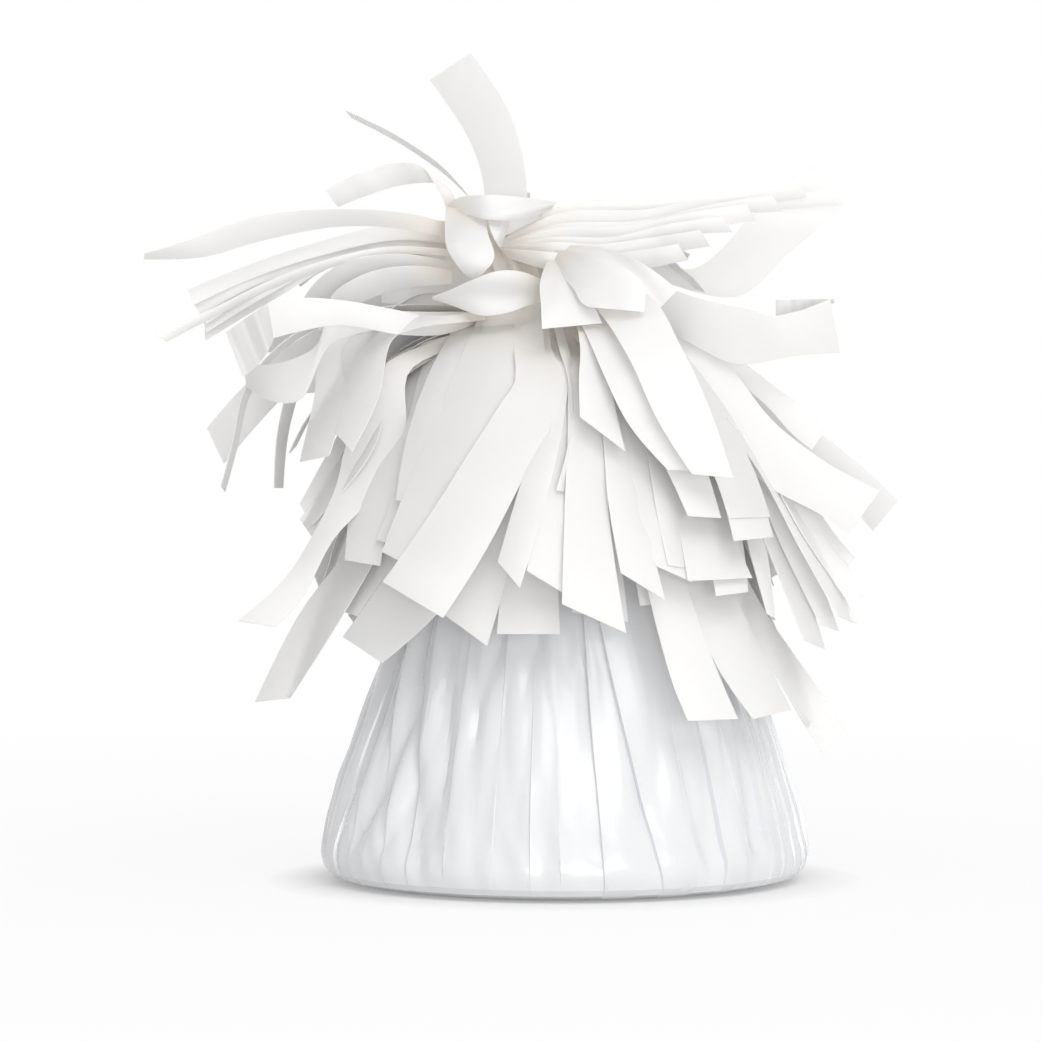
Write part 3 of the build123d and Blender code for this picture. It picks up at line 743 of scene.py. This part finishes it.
for tier, (root_share, launch, crown_share, crown_turn, fall_turn, stagger, lengths) in RINGS.items():
    for number in np.arange(0, len(lengths), 0.5):
        turn = 360 / len(lengths) * (number + stagger)
        whole = int(number)
        length_share = lengths[whole]
        between = number % 1 > 0
        azimuth = math.radians(turn)
        node = f"{tier}_fringe_{QUARTERS[int((turn + 45) // 90) % 4]}"
        front = -math.sin(azimuth)
        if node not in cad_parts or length_share == 0 or front > TRACED_SIDE[tier]:
            continue
        if between and tier == "crown":
            continue
        drops = CROWN_DROPS if tier == "crown" else (0,)
        for cut, drop in itertools.product(CUTS, drops):
            grid = swung_strip(
                stalk_root(root_share - BETWEEN_ROOT * between, azimuth),
                azimuth,
                math.radians(launch - drop + wobble(whole, LAUNCH_SPREAD) - BETWEEN_DROP * between),
                (STRIP_LENGTH * crown_share, math.radians(crown_turn)),
                (STRIP_LENGTH * max(LEAST_FALL, length_share - crown_share - cut), math.radians(fall_turn)),
                math.radians(RING_ROLL + wobble(whole * 2, ROLL_SPREAD)),
                STRIP_WIDTH,
            )
            if inside_outline(*pixel_of(grid.reshape(-1, 3))).all():
                piece_for(node).add_grid(grid)
                break


# Wrapped base: pleat lines as angle at the foot and angle at the shoulder, in degrees from the front towards
# the right, the step out to the pleat on the right in mm, and the puff of that pleat in mm
FRONT_PLEATS = (
    *((-82, -84, 0.5, 0.2), (-75, -77, 0.6, 0.15), (-68, -70, -0.5, 0.2), (-61, -64, 0.6, -0.2)),
    *((-54, -58, 0.45, -0.35), (-47, -53, 0.3, -0.2), (-39.2, -47, 0.75, -0.2), (-29, -33, 0.15, -0.3)),
    *((-17, -19, 0.0, -0.4), (-8, -10, 0.2, -0.45), (-1, -3, 0.0, -0.2), (9.1, 5.5, 0.85, 0.15)),
    *((23.8, 8.5, 0.85, 0.2), (32, 31, 0.0, -0.3), (40, 40.4, 0.75, 0.1), (47.5, 49, 0.0, -0.25)),
    *((57, 59, 0.8, 0.1), (63, 65, 0.4, -0.2), (70, 71, 0.5, 0.1), (77, 78, 0.45, 0.1)),
)
BACK_PLEATS = (85, 95, 107, 120, 133, 147, 160, 174, 188, 201, 215, 228, 241, 253, 263, 271)
PLEATS = sorted([*FRONT_PLEATS, *((a, a + 2.0, 0.65, 0.1 * (-1) ** a) for a in BACK_PLEATS)])
# Outline of the base as (radius, height) in mm, from the middle of the foot up to the frill
BASE_OUTLINE = (
    *((0.5, 0.0), (10, 0.0), (22, 0.0), (30.5, 0.0), (32.6, 0.25), (34.0, 1.3), (34.8, 3.0), (34.9, 5.0)),
    *((34.3, 7.5), (33.2, 11), (31.6, 16), (29.4, 23), (26.9, 31), (24.6, 38), (22.8, 43.5), (21.3, 47)),
    *((18.2, 50.4), (13.5, 55), (9.2, 59.2), (7.0, 61.5), (6.6, 63), (6.7, 65), (7.4, 67)),
)

# Creases: facets round the base of each set of waves, depth, and the side in degrees where they are deepest
CREASE_FACETS = (15, 19, 24, 29, 33, 38, 44, 51)
CREASE_DEPTH = 19
CREASED_SIDE = 300
CREASED_SPREAD = 25
CREASE_SEED = 23
PLEAT_SEED = 11
WRAP_FILM = 0.14  # mm
# Heights in mm: where the pleats reach their shoulder angle, over which they fade in from the foot and out
# to the frill, and of the crumpled band above the rim
SHOULDER_HEIGHT = 46
FOOT_FADE = 7
FRILL_FADE = 14
CRUMPLE_HEIGHT = 5


def creases(angle, height):
    """Depth in mm of the sharp, slanting creases in the film, more of them on the left."""
    pick = np.random.default_rng(CREASE_SEED)
    depth = np.zeros(angle.shape)
    for facets in CREASE_FACETS:
        lean, phase = pick.uniform(-0.16, 0.16), pick.uniform(0, 2 * math.pi, 4)
        bent = facets * angle / 2 + lean * height + phase[0] + 0.5 * np.sin(height / 9 + phase[1])
        wave = np.abs(np.sin(bent))
        around, rise = pick.integers(2, 6), pick.uniform(7, 13)
        patch = np.sin(around * angle + phase[2]) * np.sin(height / rise + phase[3])
        depth += (1 - wave) * np.clip(patch + 0.25, 0, 1) * CREASE_DEPTH / facets
    away = np.abs((np.degrees(angle) + 360) % 360 - CREASED_SIDE)
    left = np.clip(2 - away / CREASED_SPREAD, 0, 1)
    return depth * (0.55 + 0.75 * left)


def wrap_grid(inset):
    """Rings of the pleated wrap, from the middle of the foot up."""
    outline = np.array(BASE_OUTLINE)
    wander = np.random.default_rng(PLEAT_SEED)
    steps = np.concatenate([[0], np.cumsum(np.hypot(*np.diff(outline, axis=0).T))])
    at = np.unique(np.concatenate([np.linspace(0, steps[4], 6), np.linspace(steps[4], steps[-1], 66)]))
    radius = np.interp(at, steps, outline[:, 0])
    height = np.interp(at, steps, outline[:, 1])
    for _ in range(2):
        radius[1:-1] = (radius[:-2] + 2 * radius[1:-1] + radius[2:]) / 4
        height[6:-1] = (height[5:-2] + 2 * height[6:-1] + height[7:]) / 4
    climb = np.clip(height / SHOULDER_HEIGHT, 0, 1)
    local = np.concatenate([[0.0, 0.02], np.linspace(0.09, 0.91, 9), [0.98]])
    angles, offsets = [], []
    fade = np.clip((height - 0.2) / FOOT_FADE, 0.1, 1)
    fade *= np.clip((WRAP_TOP / MM - height) / FRILL_FADE, 0.35, 1)
    low = np.exp(-(((height - CRUMPLE_HEIGHT) / CRUMPLE_HEIGHT) ** 2))
    for number, (foot, shoulder, step, puff) in enumerate(PLEATS):
        foot_next, shoulder_next, step_next, _ = PLEATS[(number + 1) % len(PLEATS)]
        wrap_round = 360 if number + 1 == len(PLEATS) else 0
        start = foot + (shoulder - foot) * climb
        stop = foot_next + wrap_round + (shoulder_next - foot_next) * climb
        phase = wander.uniform(0, 2 * math.pi, 4)
        share = wander.uniform(0.6, 1.4)
        for t in local:
            angles.append(start + (stop - start) * t)
            lean = step / 2 + (-step_next / 2 - step / 2) * t
            swell = puff * math.sin(math.pi * t) * (0.7 + 0.5 * np.sin(height / 9 + phase[3]))
            fold = 0.18 * share * np.abs(np.sin(height / 7.5 + phase[0] + 2.2 * t)) * math.sin(math.pi * t)
            crumple = 0.3 * np.abs(np.sin(height / 2.6 + phase[1] + 4 * t)) * low
            sway = 0.12 * np.sin(height / 6.5 + phase[2])
            offsets.append(fade * (lean + swell + fold + sway - crumple) * np.clip(radius / 20, 0, 1))
    angle = np.radians(np.array(angles)).T
    crease = creases(angle, height[:, None]) * (fade * np.clip((radius - 12) / 12, 0, 1))[:, None]
    reach = np.maximum(radius[:, None] + np.array(offsets).T - crease - inset, 0.2) * MM
    rise = np.repeat((np.maximum(height, inset) * MM)[:, None], angle.shape[1], axis=1)
    return np.stack([reach * np.sin(angle), -reach * np.cos(angle), rise], axis=-1)


def skin_faces(index):
    """Faces between rings of point numbers."""
    after = np.roll(index, -1, axis=1)
    return np.stack([index[:-1], after[:-1], after[1:], index[1:]], axis=-1).reshape(-1, 4)


def shell_object(name, outer, inner, material):
    """Closed thin shell between two stacks of rings that run from the foot up to an open top."""
    n, m = outer.shape[:2]
    index = np.arange(n * m).reshape(n, m)
    skin = skin_faces(index)
    rim = np.stack([index[-1], index[-1] + n * m])
    faces = [*skin.tolist(), *(skin[:, ::-1] + n * m).tolist(), *skin_faces(rim).tolist()]
    faces += [index[0, ::-1].tolist(), (index[0] + n * m).tolist()]
    points = np.concatenate([outer.reshape(-1, 3), inner.reshape(-1, 3)])
    return film_object(name, points, faces, WRAP_SHARP, material)


def ring_grid(outline, columns, flute=0.0, flutes=12, lean=0.0):
    """Rings of a shell along an outline of (radius, height) in mm, fluted or leaning where asked."""
    rings = []
    turn = np.linspace(0, 2 * math.pi, columns, endpoint=False)
    for radius, height in outline:
        reach = radius * (1 - flute * (0.5 - 0.5 * np.cos(flutes * turn)))
        shift = -lean / MM * max(0, (height * MM - WRAP_TOP) / GATHER_HEIGHT)
        across, back = reach * np.cos(turn) + shift, reach * np.sin(turn)
        rings.append(np.stack([across, back, np.full(columns, height)], axis=-1))
    return np.array(rings) * MM


wrap_piece = shell_object("outer_wrap_film", wrap_grid(0.0), wrap_grid(WRAP_FILM), WRAP)
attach(wrap_piece, "wrapped_weight")
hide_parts("outer_wrap")

# Outlines of the lining and the stalk as (radius, height) in mm
LINER_OUTLINE = (
    *((0.5, 0.66), (20, 0.66), (29, 0.66), (32.2, 4.5), (26.2, 25)),
    *((20.4, 45.5), (5.9, 60.5), (5.9, 64), (6.4, 66.4)),
)
LINER_COLUMNS = 72
LINER_INSIDE = [(max(0.3, radius - 0.3), max(height, 0.9)) for radius, height in LINER_OUTLINE]
liner_outer = ring_grid(LINER_OUTLINE, LINER_COLUMNS)
liner_inner = ring_grid(LINER_INSIDE, LINER_COLUMNS)
liner_piece = shell_object("liner_sheet_film", liner_outer, liner_inner, LINER)
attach(liner_piece, "wrapped_weight")
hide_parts("liner_sheet")

GATHER_OUTLINE = ((4.6, 57), (4.6, 62), (4.9, 67), (5.7, 71), (5.9, 78), (5.9, 86), (5.6, 92), (4.4, 94))
gather_rings = ring_grid(GATHER_OUTLINE, 96, flute=0.24, lean=GATHER_LEAN)
gather_index = np.arange(gather_rings[..., 0].size).reshape(gather_rings.shape[:2])
gather_faces = skin_faces(gather_index).tolist()
gather_faces += [gather_index[0, ::-1].tolist(), gather_index[-1].tolist()]
gather_points = gather_rings.reshape(-1, 3)
# With no along attribute, the gather takes the fringe's painted warm root shade all over
gather_piece = film_object("neck_gather_film", gather_points, gather_faces, STRIP_SHARP, FRINGE)
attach(gather_piece, "wrapped_weight")
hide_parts("neck_gather")

# Nodes that are bodies of their own
FREE_STRIPS = {
    *("back_right_strip", "edge_strip", "folded_left_strip", "hook_strip"),
    *("long_left_strip", "right_curl_strip", "tall_strip"),
}
# Least flat width of a sheet in metres, and least share of its flat size that the strips take up
LEAST_WIDTH = 0.0101
LEAST_COVER = 0.301
for node, piece in sorted(pieces.items()):
    made = piece.make(f"{node}_film", FRINGE)
    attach(made, node if node in FREE_STRIPS else "wrapped_weight")
    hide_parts(node)
    wide = max(LEAST_WIDTH, piece.area / piece.longest)
    cut = max(piece.area, LEAST_COVER * wide * piece.longest)
# Materials of the core and the tie
for node, material in (("weight_core", PLASTER), ("neck_tie", TIE)):
    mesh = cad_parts[node].data
    mesh.materials.clear()
    mesh.materials.append(material)


# Floor and light
def looked_at(tree):
    """Output that is 1 for rays from the camera, a mirror or glass, and 0 for light on the object."""
    path = tree.nodes.new("ShaderNodeLightPath")
    seen = tree.nodes.new("ShaderNodeMath")
    seen.operation = "MAXIMUM"
    also = tree.nodes.new("ShaderNodeMath")
    also.operation = "MAXIMUM"
    tree.links.new(path.outputs["Is Camera Ray"], seen.inputs[0])
    tree.links.new(path.outputs["Is Glossy Ray"], also.inputs[0])
    tree.links.new(path.outputs["Is Transmission Ray"], also.inputs[1])
    tree.links.new(also.outputs[0], seen.inputs[1])
    return seen.outputs[0]


FLOOR_HALF = 1.2
floor_mesh = bpy.data.meshes.new("floor")
floor_mesh.from_pydata(
    [(x * FLOOR_HALF, y * FLOOR_HALF, 0) for x, y in ((-1, -1), (1, -1), (1, 1), (-1, 1))],
    [],
    [(0, 1, 2, 3)],
)
floor = bpy.data.objects.new("floor", floor_mesh)
bpy.context.scene.collection.objects.link(floor)
floor_material, floor_tree, floor_shader = new_material("floor")
floor_shader.inputs["Base Color"].default_value = (0.9, 0.9, 0.9, 1)
floor_shader.inputs["Roughness"].default_value = 0.9
floor_shader.inputs["Specular IOR Level"].default_value = 0.0
glow = floor_tree.nodes.new("ShaderNodeEmission")
glow.inputs["Color"].default_value = (1, 1, 1, 1)
glow.inputs["Strength"].default_value = 1.0
floor_place = floor_tree.nodes.new("ShaderNodeTexCoord")
floor_reach = floor_tree.nodes.new("ShaderNodeVectorMath")
floor_reach.operation = "LENGTH"
floor_tree.links.new(floor_place.outputs["Object"], floor_reach.inputs[0])
# White where it is looked at, by the distance from the middle, and less so near the rim: there the floor's
# own shadow shows, deepened by a painted shadow ring as the glow falls off
whiteness = floor_tree.nodes.new("ShaderNodeValToRGB")
whiteness.color_ramp.elements[0].position = 34.2 * MM
whiteness.color_ramp.elements[0].color = (0.3, 0.3, 0.3, 1)
whiteness.color_ramp.elements[1].position = 42 * MM
whiteness.color_ramp.elements[1].color = (0.88, 0.88, 0.88, 1)
far_floor = whiteness.color_ramp.elements.new(300 * MM)
far_floor.color = (1, 1, 1, 1)
floor_tree.links.new(floor_reach.outputs["Value"], whiteness.inputs["Fac"])
amount = floor_tree.nodes.new("ShaderNodeMath")
amount.operation = "MULTIPLY"
blend = floor_tree.nodes.new("ShaderNodeMixShader")
floor_tree.links.new(looked_at(floor_tree), amount.inputs[0])
floor_tree.links.new(whiteness.outputs["Color"], amount.inputs[1])
floor_tree.links.new(amount.outputs[0], blend.inputs["Fac"])
floor_tree.links.new(floor_shader.outputs["BSDF"], blend.inputs[1])
floor_tree.links.new(glow.outputs["Emission"], blend.inputs[2])
floor_tree.links.new(blend.outputs["Shader"], floor_tree.nodes["Material Output"].inputs["Surface"])
floor_mesh.materials.append(floor_material)

world = bpy.data.worlds.new("studio")
bpy.context.scene.world = world
world.use_nodes = True
tree = world.node_tree
for node in list(tree.nodes):
    tree.nodes.remove(node)
soft = tree.nodes.new("ShaderNodeBackground")
soft.inputs["Color"].default_value = (1, 1, 1, 1)
toward = tree.nodes.new("ShaderNodeTexCoord")
side_light = tree.nodes.new("ShaderNodeVectorMath")
side_light.operation = "DOT_PRODUCT"
side_light.inputs[1].default_value = (0.8, -0.8, 0.6)
level = tree.nodes.new("ShaderNodeMapRange")
level.inputs["From Min"].default_value = -1.0
level.inputs["From Max"].default_value = 0.6
level.inputs["To Min"].default_value = 0.4
level.inputs["To Max"].default_value = 0.66
tree.links.new(toward.outputs["Generated"], side_light.inputs[0])
tree.links.new(side_light.outputs["Value"], level.inputs["Value"])
tree.links.new(level.outputs["Result"], soft.inputs["Strength"])
white = tree.nodes.new("ShaderNodeBackground")
white.inputs["Color"].default_value = (1, 1, 1, 1)
white.inputs["Strength"].default_value = 1.0
blend = tree.nodes.new("ShaderNodeMixShader")
out = tree.nodes.new("ShaderNodeOutputWorld")
tree.links.new(looked_at(tree), blend.inputs["Fac"])
tree.links.new(soft.outputs["Background"], blend.inputs[1])
tree.links.new(white.outputs["Background"], blend.inputs[2])
tree.links.new(blend.outputs["Shader"], out.inputs["Surface"])


def area_light(name, place, target, size, power):
    """Rectangular lamp at a place, turned to a target."""
    light = bpy.data.lights.new(name, "AREA")
    light.shape = "RECTANGLE"
    light.size, light.size_y = size
    light.energy = power
    lamp = bpy.data.objects.new(name, light)
    away = np.array(place, float) - np.array(target, float)
    away /= np.linalg.norm(away)
    side = np.cross((0, 0, 1), away)
    side /= np.linalg.norm(side)
    top = np.cross(away, side)
    lamp.matrix_world = Matrix([(side[i], top[i], away[i], place[i]) for i in range(3)] + [(0, 0, 0, 1)])
    bpy.context.scene.collection.objects.link(lamp)


area_light("key", place=(0.25, -0.75, 0.8), target=(0, 0, 0.06), size=(0.7, 0.7), power=3.7)
area_light("low_fill", place=(0.2, -0.9, 0.1), target=(0, 0, 0.04), size=(0.6, 0.2), power=2.05)

SENSOR_WIDTH = 36.0
camera = bpy.data.cameras.new("camera")
camera.sensor_width = SENSOR_WIDTH
camera.lens = SENSOR_WIDTH * CAMERA_DISTANCE / (PHOTO_SIZE * PIXEL)
camera.clip_start = 0.01
camera_object = bpy.data.objects.new("camera", camera)
camera_object.matrix_world = Matrix(
    [(RIGHT[i], UP[i], -FORWARD[i], EYE[i]) for i in range(3)] + [(0, 0, 0, 1)]
)
bpy.context.scene.collection.objects.link(camera_object)
bpy.context.scene.camera = camera_object
bpy.context.scene.view_settings.view_transform = "Standard"

bpy.context.view_layer.update()
